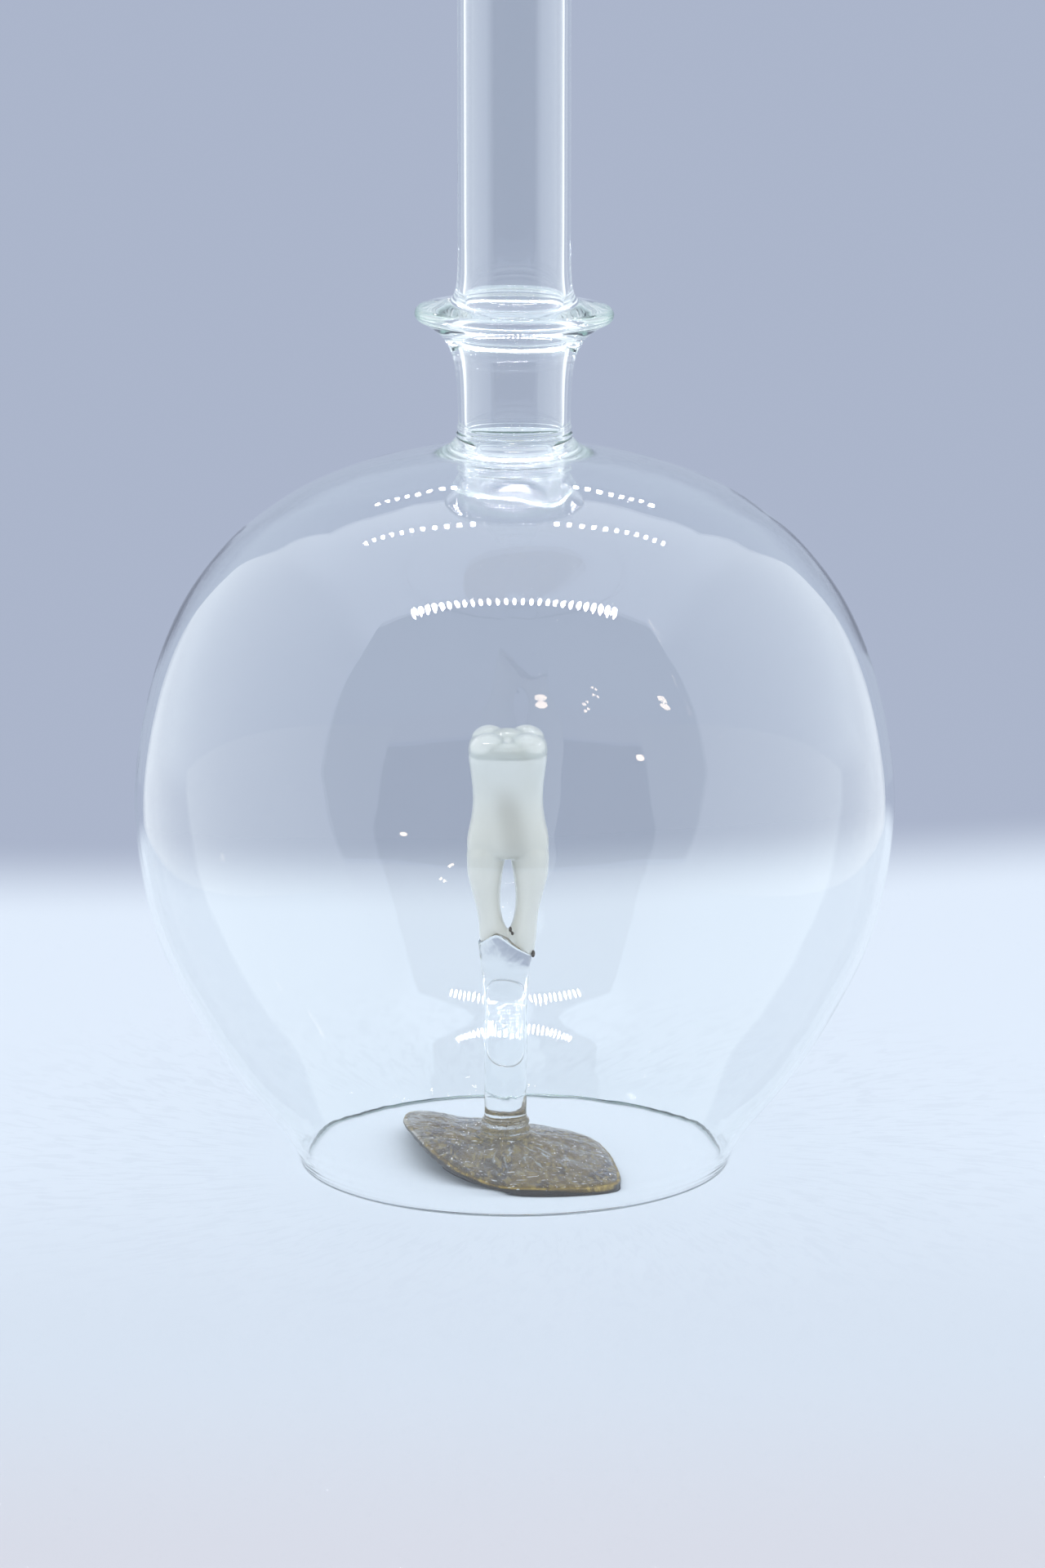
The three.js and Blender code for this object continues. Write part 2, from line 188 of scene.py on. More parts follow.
# ---- Shader nodes ----
class Nodes:
    """Short calls that build a node tree."""

    def __init__(self, tree):
        self.tree = tree
        tree.nodes.clear()

    def add(self, kind, settings=None, **inputs):
        node = self.tree.nodes.new(kind)
        for key, value in (settings or {}).items():
            setattr(node, key, value)
        for key, value in inputs.items():
            self.put(node.inputs[key.replace("_", " ")], value)
        return node

    def put(self, socket, value):
        if isinstance(value, bpy.types.NodeSocket):
            self.tree.links.new(value, socket)
        else:
            socket.default_value = value

    def math(self, operation, a, b=0.0, c=0.0, clamp=False):
        node = self.add("ShaderNodeMath", {"operation": operation, "use_clamp": clamp})
        for socket, value in zip(node.inputs, (a, b, c)):
            self.put(socket, value)
        return node.outputs[0]

    def product(self, first, *others):
        for other in others:
            first = self.math("MULTIPLY", first, other)
        return first

    def inverse(self, value):
        """1 - value."""
        return self.math("SUBTRACT", 1.0, value)

    def step(self, value, low, high):
        """0 below low, 1 above high, smooth between."""
        node = self.add("ShaderNodeMapRange", {"interpolation_type": "SMOOTHSTEP"})
        for socket, given in zip(node.inputs, (value, low, high, 0.0, 1.0)):
            self.put(socket, given)
        return node.outputs[0]

    def mix(self, factor, a, b):
        node = self.add("ShaderNodeMix", {"data_type": "RGBA"})
        self.put(node.inputs["Factor"], factor)
        self.put(node.inputs[6], a)
        self.put(node.inputs[7], b)
        return node.outputs[2]

    def noise(self, vector, scale, detail=2.0, distortion=0.0):
        node = self.add("ShaderNodeTexNoise", Scale=scale, Detail=detail, Distortion=distortion)
        self.put(node.inputs["Vector"], vector)
        return node.outputs["Fac"]

    def axes(self):
        """The object's own X, Y and Z at the point, in metres."""
        spot = self.add("ShaderNodeTexCoord").outputs["Object"]
        return self.add("ShaderNodeSeparateXYZ", Vector=spot).outputs

    def bump(self, height, strength, distance):
        node = self.add("ShaderNodeBump", Height=height, Strength=strength, Distance=distance)
        return node.outputs[0]

    def around(self, x, y):
        """Angle about the origin and distance from it."""
        squares = self.math("ADD", self.product(x, x), self.product(y, y))
        return self.math("ARCTAN2", y, x), self.math("SQRT", squares)

    def blend(self, factor, first, second):
        """A mix of two shaders."""
        node = self.add("ShaderNodeMixShader")
        for socket, given in zip(node.inputs, (factor, first, second)):
            self.put(socket, given)
        return node.outputs[0]

    def seen_by(self, kind):
        """1 on a ray that has been through at least one bounce of the kind, otherwise 0."""
        return self.math("MINIMUM", self.add("ShaderNodeLightPath").outputs[kind], 1.0)


def empty_material(name):
    """A material with an output node and nothing joined to it."""
    material = bpy.data.materials.new(name)
    material.use_nodes = True
    nodes = Nodes(material.node_tree)
    return material, nodes, nodes.add("ShaderNodeOutputMaterial")


def new_material(name):
    """A material with one Principled shader."""
    material, nodes, output = empty_material(name)
    shader = nodes.add("ShaderNodeBsdfPrincipled")
    nodes.put(output.inputs["Surface"], shader.outputs[0])
    return material, nodes, shader, output


def place(nodes, scale=(1, 1, 1), location=(0, 0, 0)):
    """Object coordinates in metres, moved and scaled."""
    spot = nodes.add("ShaderNodeTexCoord").outputs["Object"]
    mapping = nodes.add("ShaderNodeMapping")
    nodes.put(mapping.inputs["Vector"], spot)
    mapping.inputs["Scale"].default_value = scale
    mapping.inputs["Location"].default_value = location
    return mapping.outputs[0]


BOROSILICATE_IOR = 1.474
CRINKLE_ENDS = (6.5 * MM, 9.0 * MM)  # heights between which the foot's skin gives way to the stem


def clear_glass(name, tint, absorb, density, ripple=0.0, ripple_scale=60.0, crinkle=0.0):
    """Clear glass that darkens and colours with its depth. ripple is a faint unevenness of the
    drawn surface. crinkle is a stronger and finer one that stops a little above the table."""
    material, nodes, shader, output = new_material(name)
    shader.inputs["Base Color"].default_value = (*tint, 1)
    shader.inputs["Roughness"].default_value = 0.0
    shader.inputs["IOR"].default_value = BOROSILICATE_IOR
    shader.inputs["Transmission Weight"].default_value = 1.0
    volume = nodes.add("ShaderNodeVolumeAbsorption")
    volume.inputs["Color"].default_value = (*absorb, 1)
    volume.inputs["Density"].default_value = density
    nodes.put(output.inputs["Volume"], volume.outputs[0])
    if ripple:
        height = nodes.noise(place(nodes, scale=(1, 1, 0.5)), ripple_scale, 3.0, 0.6)
        strength = ripple
        if crinkle:
            above = nodes.step(nodes.axes()["Z"], *CRINKLE_ENDS)
            strength = nodes.math("MULTIPLY_ADD", above, ripple - crinkle, crinkle)
            sharp = nodes.noise(place(nodes, scale=(1, 0.5, 1)), 3 * ripple_scale, 3.0, 0.3)
            height = nodes.mix(above, sharp, height)
        nodes.put(shader.inputs["Normal"], nodes.bump(height, strength, 0.6 * MM))
    return material


def pulp_smudge(nodes, across, height):
    """How strongly the smudge shows: it runs down the trunk and leans into the right-hand root."""
    lean = nodes.math("MULTIPLY", nodes.math("SUBTRACT", 76.0, height), 0.16)
    middle = nodes.math("ADD", TOOTH_X - 0.3, nodes.math("MAXIMUM", lean, 0.0))
    off = nodes.math("ABSOLUTE", nodes.math("SUBTRACT", across, middle))
    beside = nodes.inverse(nodes.step(off, 0.3, 4.2))
    within = nodes.product(nodes.step(height, 58.0, 66.0), nodes.inverse(nodes.step(height, 72.0, 79.0)))
    return nodes.product(beside, within, 0.5)


def opal_glass():
    """Milky glass: bluish white at the crown, creamier below, with a greyer smudge for the pulp."""
    material, nodes, shader, _ = new_material("opal_glass")
    x, _, z = nodes.axes()
    height = nodes.math("DIVIDE", z, MM)
    across = nodes.math("DIVIDE", x, MM)
    crown = nodes.step(height, 64.0, 84.0)
    colour = nodes.mix(crown, (0.76, 0.765, 0.72, 1), (0.80, 0.83, 0.82, 1))
    cloud = nodes.step(nodes.noise(place(nodes), 150.0, 4.0, 0.3), 0.35, 0.75)
    colour = nodes.mix(nodes.product(cloud, 0.35), colour, (0.69, 0.70, 0.66, 1))
    colour = nodes.mix(pulp_smudge(nodes, across, height), colour, (0.50, 0.50, 0.46, 1))
    nodes.put(shader.inputs["Base Color"], colour)
    shader.inputs["Roughness"].default_value = 0.12
    shader.inputs["IOR"].default_value = 1.5
    shader.inputs["Subsurface Weight"].default_value = 0.5
    shader.inputs["Subsurface Radius"].default_value = (1.0, 1.0, 1.0)
    shader.inputs["Subsurface Scale"].default_value = 2.5 * MM
    fine = nodes.noise(place(nodes, scale=(1, 1, 0.4)), 380.0, 3.0)
    nodes.put(shader.inputs["Normal"], nodes.bump(fine, 0.06, 0.3 * MM))
    return material


def streaks_and_sheen(nodes, x, y):
    """Pale streaks that spread from the stem, in a patch at the front right: partly streaks in the glass,
    partly a painted reflection.
    """
    dx = nodes.math("SUBTRACT", nodes.math("DIVIDE", x, MM), STEM_X)
    angle, reach = nodes.around(dx, nodes.math("DIVIDE", y, MM))
    polar = nodes.add("ShaderNodeCombineXYZ", X=nodes.product(angle, 9.0), Y=nodes.product(reach, 0.12))
    streak = nodes.step(nodes.noise(polar.outputs[0], 1.6, 3.0, 0.4), 0.56, 0.7)
    ring = nodes.product(nodes.inverse(nodes.step(reach, 13.0, 21.0)), nodes.step(reach, 5.0, 9.0))
    turned_away = nodes.step(nodes.math("ABSOLUTE", nodes.math("ADD", angle, 1.05)), 0.45, 0.9)
    return nodes.product(ring, nodes.inverse(turned_away), streak)


def brown_glass():
    """Mottled amber-brown glass with painted glints, pale streaks that are partly a painted reflection, and
    a paler left tip.
    """
    material, nodes, shader, _ = new_material("brown_glass")
    x, y, _ = nodes.axes()
    broad = nodes.noise(place(nodes, scale=(1, 0.6, 1)), 200.0, 6.0, 0.7)
    fine = nodes.noise(place(nodes, scale=(1, 0.4, 1)), 1000.0, 6.0, 0.5)
    colour = nodes.mix(nodes.step(broad, 0.42, 0.58), (0.115, 0.068, 0.006, 1), (0.235, 0.155, 0.02, 1))
    speckle = nodes.product(nodes.step(fine, 0.50, 0.62), 0.75)
    colour = nodes.mix(speckle, colour, (0.42, 0.31, 0.07, 1))
    # painted glints: white flecks that stand in for highlights on the glassy top
    painted_glint = nodes.noise(place(nodes, scale=(0.5, 1.2, 1), location=(3, 5, 0)), 1100.0, 1.0, 0.3)
    colour = nodes.mix(nodes.step(painted_glint, 0.68, 0.72), colour, (0.95, 0.97, 1.0, 1))
    # pale streaks, partly a painted reflection on the foot's top
    colour = nodes.mix(streaks_and_sheen(nodes, x, y), colour, (0.62, 0.68, 0.70, 1))
    tip = nodes.inverse(nodes.step(x, -21.5 * MM, -15 * MM))
    grain = nodes.noise(place(nodes, scale=(0.5, 2.2, 1)), 420.0, 3.0, 1.0)
    streaky_tip = nodes.product(tip, nodes.step(grain, 0.38, 0.6))
    colour = nodes.mix(streaky_tip, colour, (0.52, 0.52, 0.50, 1))
    # the edge and the underside are in the shade of the foot itself
    normal = nodes.add("ShaderNodeNewGeometry").outputs["Normal"]
    upwards = nodes.add("ShaderNodeSeparateXYZ", Vector=normal).outputs["Z"]
    colour = nodes.mix(nodes.step(upwards, 0.2, 0.75), (0.022, 0.012, 0.006, 1), colour)
    nodes.put(shader.inputs["Base Color"], colour)
    shader.inputs["Roughness"].default_value = 0.3
    shader.inputs["IOR"].default_value = 1.3
    nodes.put(shader.inputs["Normal"], nodes.bump(fine, 0.25, 0.4 * MM))
    return material


def soot():
    """Black and brown specks."""
    material, nodes, shader, _ = new_material("soot")
    speck = nodes.noise(place(nodes), 900.0, 3.0)
    nodes.put(shader.inputs["Base Color"], nodes.mix(speck, (0.01, 0.008, 0.006, 1), (0.09, 0.06, 0.03, 1)))
    shader.inputs["Roughness"].default_value = 0.5
    return material


# ---- Cloche: radius and height in each outline ----
OUTSIDE = [(RIM_R - 0.6, 0.15), (RIM_R - 0.3, 0.35), (RIM_R + 0.05, 1.2), (RIM_R + 0.8, 2.8),
           (RIM_TOP_R, 5.2), (48.7, 10), (56.7, 20), (64.1, 32), (70.7, 46), (74.1, 60), (GLOBE_R, 74),
           (73.8, 88), (70.2, 102), (64.7, 114), (57, 124), (50, 130), (43, 134.6), (35.5, 138),
           (28, 140.5), (20.5, 142.4), (15.5, 143.6), (13.0, 144.5), (12.1, 145.4)]
NECK = [(11.55, 146.0), (11.3, 146.5), (11.45, 147.0), (11.15, 147.6), (11.25, 148.2), (11.05, 149),
        (11.05, 152), (11.4, 158.5), (12.4, 163), (14.6, 166.4), (17.2, 168.3)]
UPPER = [(16.2, 172.3), (13.2, 172.9), (11.7, 174.6), (11.15, 178), (TUBE_R, 184)]
BORE = [(BORE_R, 184), (BORE_R, 177), (BORE_R + 0.5, 173.4), (BORE_R + 1.2, 170.4),
        (BORE_R + 1.0, 167.4), (BORE_R + 0.2, 163), (BORE_R - 0.05, 157), (BORE_R, 147)]
LIP = [(TUBE_R, LIP_Z - 1), (TUBE_R + 0.25, LIP_Z + 0.3), (TUBE_R + 0.8, LIP_Z + 1.3),
       (TUBE_R + 0.3, TOP_Z - 0.25), (TUBE_R - 0.7, TOP_Z - 0.06), (BORE_R + 0.1, TOP_Z - 0.6),
       (BORE_R - 0.2, LIP_Z + 0.9), (BORE_R, LIP_Z - 1)]
SLEEVE_END = [(BORE_R + 0.3, 2), (BORE_R + 1.2, 0.4), (TUBE_R + 0.7, 0), (TUBE_R + 1.2, 0.9),
              (TUBE_R + 0.3, 2.4), (TUBE_R - 0.2, 3.3), (TUBE_R + 0.3, 4.2), (TUBE_R - 0.2, 5.1),
              (TUBE_R + 0.2, 6), (TUBE_R - 0.1, 6.9)]  # heights above DRIP_Z
COLLAR_EDGE = 1.5  # radius of the collar's round edge
CLOCHE_SEGMENTS = 192


def wall(z):
    """Thickness of the globe, thinner where it was blown out at the shoulder."""
    return 1.35 - 0.4 * smooth(z, 100, 128)


def offset_inwards(curve):
    """The curve moved inwards by the wall at each point, from the top down."""
    run = np.gradient(curve, axis=0)
    run /= np.linalg.norm(run, axis=1)[:, None]
    t = wall(curve[:, 1])
    inner = np.stack([curve[:, 0] - run[:, 1] * t, curve[:, 1] + run[:, 0] * t], 1)
    return inner[::-1]


def sleeve_outline():
    """Down the bore to the flared end, and up the rippled outside to the shoulder."""
    end = [(r, DRIP_Z + z) for r, z in SLEEVE_END]
    return [BORE[-1], (BORE_R, 141), *end, (TUBE_R + 0.5, 143.1), (14.2, 142.9)]


def cloche_profile():
    """The whole section of the glass as one closed outline, from the rim up, over and down again."""
    globe = spline(OUTSIDE, 7)
    around = np.linspace(-1.25, 1.25, 13)
    collar = np.stack([COLLAR_R - COLLAR_EDGE + COLLAR_EDGE * np.cos(around),
                       COLLAR_Z + COLLAR_EDGE * np.sin(around)], 1)
    neck = spline([OUTSIDE[-1], *NECK, tuple(collar[0])], 5)[1:-1]
    upper = spline([tuple(collar[-1]), *UPPER], 5)[1:]
    straight = [(TUBE_R, z) for z in np.linspace(190, LIP_Z - 3, 6)]
    back = [(BORE_R, z) for z in np.linspace(LIP_Z - 3, 190, 6)]
    sleeve = spline(sleeve_outline(), 4)[1:]
    inner = offset_inwards(globe)
    inner = inner[(inner[:, 0] > 17) & (inner[:, 1] > 2)]
    rim = spline([tuple(inner[-1]), (RIM_R - 1.45, 1.2), (RIM_R - 1.7, 0.4), (RIM_R - 1.4, 0.15)], 4)[1:]
    return np.concatenate([globe, neck, collar, upper, straight, spline(LIP, 4), back, spline(BORE, 4),
                           sleeve, inner, rim])


def hand_blown(x, y, z, r, angle):
    """What a lathe doesn't give: an uneven shoulder, a drip on the sleeve and a tilted collar."""
    swirl = np.sin(3 * angle + 0.09 * z) + 0.7 * np.sin(5 * angle - 0.17 * z + 1.2)
    swirl = swirl + 0.5 * np.sin(9 * angle + 0.3 * z)
    shoulder = smooth(z, 130, 134) * (1 - smooth(z, 134, 140)) * (1 - smooth(r, 18, 24)) * (r > 16)
    z = z - 0.08 * swirl * shoulder
    drip = np.exp(-((np.angle(np.exp(1j * (angle + 0.95))) / 0.4) ** 2))
    end = (1 - smooth(z, DRIP_Z + 0.5, DRIP_Z + 4)) * (r < 14.5) * (z > DRIP_Z - 1)
    z = z - 1.6 * drip * end
    grow = 1 + 0.08 * drip * end
    tilt = smooth(z, 162, 168) * (1 - smooth(z, 173, 178))
    z = z - COLLAR_TILT * x * tilt
    return x * grow, y * grow, z


def build_cloche(material):
    cloche = make_object("cloche_glass", *turned(cloche_profile(), CLOCHE_SEGMENTS, hand_blown),
                         material)
    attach(cloche, "cloche")
    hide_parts("rim_ring", "globe_foot", "globe_lower", "globe_upper", "globe_shoulder",
                "globe_crown", "drip_sleeve", "neck_tube", "collar_ring", "upper_tube", "lip_ring")


# ---- Stand ----
FOOT_CENTRE = np.array([-0.9, -1.7])
FOOT_OUTLINE = [(18.8, -0.5), (11.3, 12.4), (-0.5, 19.3), (-12, 22.6), (-20.2, 18.8), (-22.6, 8),
                (-18.4, -7.3), (-11, -18.6), (-2.6, -24.6), (8, -26.3), (18.2, -24.6), (21, -17)]
FOOT_RIM = spline(FOOT_OUTLINE, 12, closed=True)
FOLD = (-3.0, -24.0)  # the foot lies flat to the right of a line through here
FOLD_ANGLE = 1.75
FOOT_SLOPE = 0.28


def lift(x, y):
    """How far the foot's left side curls up off the table."""
    across = (x - FOLD[0]) * math.sin(FOLD_ANGLE) - (y - FOLD[1]) * math.cos(FOLD_ANGLE)
    return FOOT_SLOPE * 0.5 * (np.sqrt(across**2 + 1.5) - across - 0.05).clip(0)


def foot_top(x, y, share):
    """Height of the brown glass. share runs from 0 at the foot's middle to 1 at its rim."""
    return lift(x, y) + 1.1 + 2.1 * (1 - share**2)


def foot_wavy_top(x, y, share):
    """The same, with waves that die out at the rim."""
    wave = 0.12 * np.sin(0.5 * x + 0.3 * y) + 0.08 * np.sin(0.9 * y - 0.4 * x)
    return foot_top(x, y, share) + wave * (1 - share)


def skin_top(x, y, share):
    """Height of the clear skin over the brown glass."""
    wave = 0.22 * np.sin(0.42 * x + 0.35 * y + 1) * np.sin(0.5 * y - 0.2 * x)
    return (foot_top(x, y, share) + 0.25 + 0.9 * (1 - share) ** 1.5
            + wave * smooth(1 - share, 0, 0.3))


def foot_loop(share, surface, above=0.0):
    """The foot's outline shrunk to a share, on a surface or a little above it."""
    flat = FOOT_CENTRE + (FOOT_RIM - FOOT_CENTRE) * share
    x, y = flat.T
    return np.column_stack([x, y, surface(x, y, share) + above])


def underside(x, y, share):
    """The sheet that the foot was pressed from: the same height at every share."""
    return lift(x, y)


def build_foot(material):
    shares = [0.06, 0.2, 0.35, 0.5, 0.65, 0.8, 0.9, 0.96, 0.99]
    loops = [foot_loop(share, underside, 0.03) for share in shares]
    loops.append(foot_loop(1.0, underside, 0.5))
    loops += [foot_loop(share, foot_wavy_top) for share in reversed(shares)]
    foot = make_object("brown_foot", *lofted(loops), material)
    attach(foot, "stand")
    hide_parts("foot_plate")


def ring_loop(radius, z, start):
    """A level ring about the stem, with as many points as the foot's rim."""
    angle = np.arange(len(FOOT_RIM)) / len(FOOT_RIM) * 2 * math.pi + start
    return np.column_stack([STEM_X + radius * np.cos(angle), radius * np.sin(angle), z + 0 * angle])


SOCKET_Z = 39.0  # where the stem ends and its ridge begins
RIDGE_X, RIDGE_Z = -3.6, 47.0
LEFT_SLOPE, RIGHT_SLOPE = 0.84, 0.745


def roof(x):
    """The ridge that the roots sit on, rounded at its peak."""
    left = RIDGE_Z + LEFT_SLOPE * (x - RIDGE_X)
    right = RIDGE_Z - RIGHT_SLOPE * (x - RIDGE_X)
    return -np.logaddexp(-left * 2, -right * 2) / 2


def stem_loops(start):
    """Rings up the stem: the pressed-on foot of it, its slight unevenness, and the ridge on top."""
    foot_z = float(foot_top(np.array([STEM_X]), np.array([0.0]), 0.0)[0])
    pressed = [(6.2, 0.75), (5.3, 1.1), (4.9, 1.5), (4.95, 1.9), (5.15, 2.3), (5.0, 2.8), (4.55, 3.1),
               (4.6, 3.5), (4.85, 3.9), (4.7, 4.4), (4.3, 4.8), (4.22, 6)]
    outline = [(r, foot_z + z) for r, z in pressed]
    outline += [(4.25, 14), (4.3, 20), (4.45, 25), (4.3, 30), (4.5, 35), (4.9, SOCKET_Z)]
    loops = [ring_loop(r, z, start) for r, z in outline]
    loops.append(ring_loop(4.9, SOCKET_Z + 0.4, start))
    for share in (0.4, 0.75, 0.95, 1.0):
        loop = ring_loop(4.9 + 0.55 * share, SOCKET_Z, start)
        loop[:, 2] += (roof(loop[:, 0]) - SOCKET_Z) * share
        loops.append(loop)
    for scale in (0.9, 0.7, 0.45, 0.2, 0.03):
        loop = ring_loop(5.45 * scale, 0, start)
        loop[:, 2] = roof(loop[:, 0]) + 0.05
        loops.append(loop)
    return loops


def build_stem(material):
    """The clear skin over the foot, the stem's rings, the stem and its ridge, as one piece, with a
    thread of air in it."""
    loops = [foot_loop(share, foot_top, -0.35) for share in (0.1, 0.4, 0.7, 0.9)]
    loops.append(foot_loop(0.965, foot_top, 0.1))
    loops += [foot_loop(share, skin_top) for share in (0.95, 0.9, 0.82, 0.72, 0.62, 0.52, 0.42, 0.33)]
    loops += stem_loops(math.atan2(FOOT_RIM[0][1], FOOT_RIM[0][0] - STEM_X))
    stem = make_object("stem_glass", *lofted(loops), material)
    add_hollow(stem, *air_thread(0.16))
    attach(stem, "stand")
    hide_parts("foot_puddle", "stem_collar", "stem_rod", "root_socket")


def air_thread(radius, sides=8):
    """Points and faces of a thin loop of trapped air, upright in the middle of the stem."""
    half = [(0.0, 18.9), (1.4, 19.2), (2.5, 20.8), (2.75, 24), (2.6, 30), (2.75, 33), (2.1, 35.6),
            (0.9, 36.5)]
    outline = half + [(-x, z + 0.3) for x, z in reversed(half[1:])]
    path = spline(outline, 6, closed=True)
    along = np.roll(path, -1, axis=0) - np.roll(path, 1, axis=0)
    along /= np.linalg.norm(along, axis=1)[:, None]
    turn = (np.arange(sides) / sides * 2 * math.pi)[None, :]
    x = path[:, 0:1] - along[:, 1:2] * np.cos(turn) * radius + STEM_X
    z = path[:, 1:2] + along[:, 0:1] * np.cos(turn) * radius
    y = np.sin(turn) * radius + 0 * x
    points = np.stack([x, y, z], -1).reshape(-1, 3)
    return points, grid_faces(len(path), sides, wrap_rows=True)


def add_hollow(obj, points, faces):
    """A closed void inside the glass: its faces point into the void."""
    inner = make_object("hollow", points, faces, obj.data.materials[0])
    body = bmesh.new()
    body.from_mesh(inner.data)
    bmesh.ops.reverse_faces(body, faces=body.faces)
    body.to_mesh(inner.data)
    body.clear()
    body.from_mesh(obj.data)
    body.from_mesh(inner.data)
    body.to_mesh(obj.data)
    body.free()
    obj.data.shade_smooth()
    bpy.data.objects.remove(inner)


def rounded(value, squareness):
    """A cosine or a sine, bulged towards a square for a squareness under 1."""
    return np.sign(value) * np.abs(value) ** squareness


def section(x, z, half_width, half_depth, squareness=1.0, count=56, y=0.0):
    """A level loop, from an ellipse to a rounded box."""
    angle = np.arange(count) / count * 2 * math.pi
    return np.column_stack([x + half_width * rounded(np.cos(angle), squareness),
                            y + half_depth * rounded(np.sin(angle), squareness), z + 0 * angle])


# height, half width and half depth
TRUNK = [(61.9, 6.6, 4.4), (63, 8.0, 5.8), (65, 8.15, 6.4), (67, 7.85, 6.6), (70, 7.25, 6.5),
         (74, 6.95, 6.4), (78.6, 7.35, 6.8), (82, 7.8, 7.2), (83.8, 7.7, 7.1), (85.0, 6.9, 6.3),
         (85.8, 4.8, 4.4), (86.2, 2.0, 1.8)]
# height, how far from the tooth's middle, half width and half depth
ROOT = [(38.5, 2.3, 2.3, 3.0), (42, 2.6, 2.6, 3.2), (45.6, 2.8, 2.9, 3.5), (48.2, 3.35, 2.5, 3.6),
        (51, 3.85, 2.4, 3.9), (54.4, 4.3, 2.8, 4.4), (58, 4.55, 3.45, 5.1), (60.5, 4.4, 3.75, 5.5),
        (62.5, 4.2, 4.0, 5.8), (64.5, 4.0, 3.6, 5.6)]


def cut_by_roof(loops, clearance):
    """Keeps a root's lower loops on the ridge of the stem."""
    for loop in loops:
        loop[:, 2] = np.maximum(loop[:, 2], roof(loop[:, 0]) + clearance)
    return loops


def crown_section(z, half_width, half_depth):
    return section(TOOTH_X, z, half_width, half_depth, 0.82)


def build_tooth(material):
    parts = [lofted([crown_section(*row) for row in spline(TRUNK, 3)])]
    for side in (-1, 1):
        loops = [section(TOOTH_X + side * off, z, w, d) for z, off, w, d in spline(ROOT, 4)]
        parts.append(lofted(cut_by_roof(loops, -0.25)))
    tooth = fused("molar", parts, 0.28, 14, material)
    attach(tooth, "stand")
    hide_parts("molar_tooth")


def blob(x, y, z, rx, ry, rz, count=24):
    """A closed ellipsoid."""
    lat = np.linspace(-math.pi / 2 + 0.08, math.pi / 2 - 0.08, 13)
    return lofted([section(x, z + rz * math.sin(a), rx * math.cos(a), ry * math.cos(a), count=count, y=y)
                   for a in lat])


# x, y, radius and half height of the four cusps and the dome between them
CUSPS = [(-3.9, -3.4, 3.7, 2.7), (3.9, -3.4, 3.7, 2.6), (-3.7, 3.3, 3.6, 2.6), (3.7, 3.4, 3.6, 2.5),
         (0, 0.6, 4.4, 2.6)]


def build_crown_cap(material):
    """A clear cap with four soft cusps and a low dome, cast over the top of the opal core."""
    skirt = [(80.6, 7.2, 6.6), (82.2, 7.78, 7.18), (83.8, 7.9, 7.3), (85.0, 7.5, 6.9), (85.8, 6.4, 5.9)]
    parts = [lofted([crown_section(*row) for row in skirt])]
    parts += [blob(TOOTH_X + x, y, CROWN_Z - rz, rx, rx * 0.95, rz) for x, y, rx, rz in CUSPS]
    cap = fused("crown_glaze", parts, 0.28, 8, material)
    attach(cap, "stand")
    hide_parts("crown_cap")


def build_specks(material):
    """Soot burnt in where the roots were stuck on: one in the fork, one at the right root's tip."""
    parts = [blob(TOOTH_X + 0.5, -3.35, 47.5, 0.35, 0.3, 0.6, 12),
             blob(TOOTH_X + 0.9, -3.5, 46.7, 0.3, 0.3, 0.4, 12),
             blob(TOOTH_X + 5.0, -1.6, 42.1, 0.45, 0.7, 0.75, 12)]
    specks = fused("soot_specks", parts, 0.12, 2, material)
    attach(specks, "stand")


# ---- Stage, light and camera ----
BACKDROP = (0.41, 0.465, 0.60, 1)
DARK_ROOM = (0.03, 0.032, 0.037, 1)
PIPED = (0.55, 0.63, 0.74, 1)  # light that has bounced about inside the glass
TABLE_COLOUR = (0.70, 0.76, 0.84, 1)
TABLE_MIDWAY = (0.62, 0.675, 0.75, 1)
# the table's colour at the front, darkened as painted shade
TABLE_FRONT_SHADE = (0.62, 0.62, 0.67, 1)
FILAMENT = (0.60, 0.655, 0.735, 1)
TABLE_HALF = 0.46  # metres
TABLE_MIDDLE = -0.24  # the table reaches further to the front than to the back
TABLE_SKEW = 0.25  # the far edge slants back on the right


def sixth_power(nodes, value):
    return nodes.math("POWER", nodes.math("ABSOLUTE", value), 6.0)


def table_edge(nodes, x, y):
    """1 on a rounded square, less inside it and more outside."""
    across = nodes.math("DIVIDE", x, TABLE_HALF)
    skew = nodes.math("MULTIPLY", nodes.math("MAXIMUM", x, 0.0), TABLE_SKEW)
    along = nodes.math("SUBTRACT", nodes.math("SUBTRACT", y, TABLE_MIDDLE), skew)
    along = nodes.math("DIVIDE", along, TABLE_HALF)
    both = nodes.math("ADD", sixth_power(nodes, across), sixth_power(nodes, along))
    return nodes.math("POWER", both, 1 / 6)


def filaments(nodes, x, y):
    """Faint threads of light that the globe throws on the table around it."""
    angle, reach = nodes.around(x, y)
    turn = nodes.math("ADD", nodes.product(angle, 26.0), nodes.product(reach, 60.0))
    polar = nodes.add("ShaderNodeCombineXYZ", X=turn, Y=nodes.product(reach, 90.0))
    thread = nodes.step(nodes.noise(polar.outputs[0], 1.5, 2.0, 0.8), 0.46, 0.66)
    zone = nodes.product(nodes.step(reach, 0.046, 0.06), nodes.inverse(nodes.step(reach, 0.085, 0.15)))
    return nodes.product(thread, zone, 0.35)


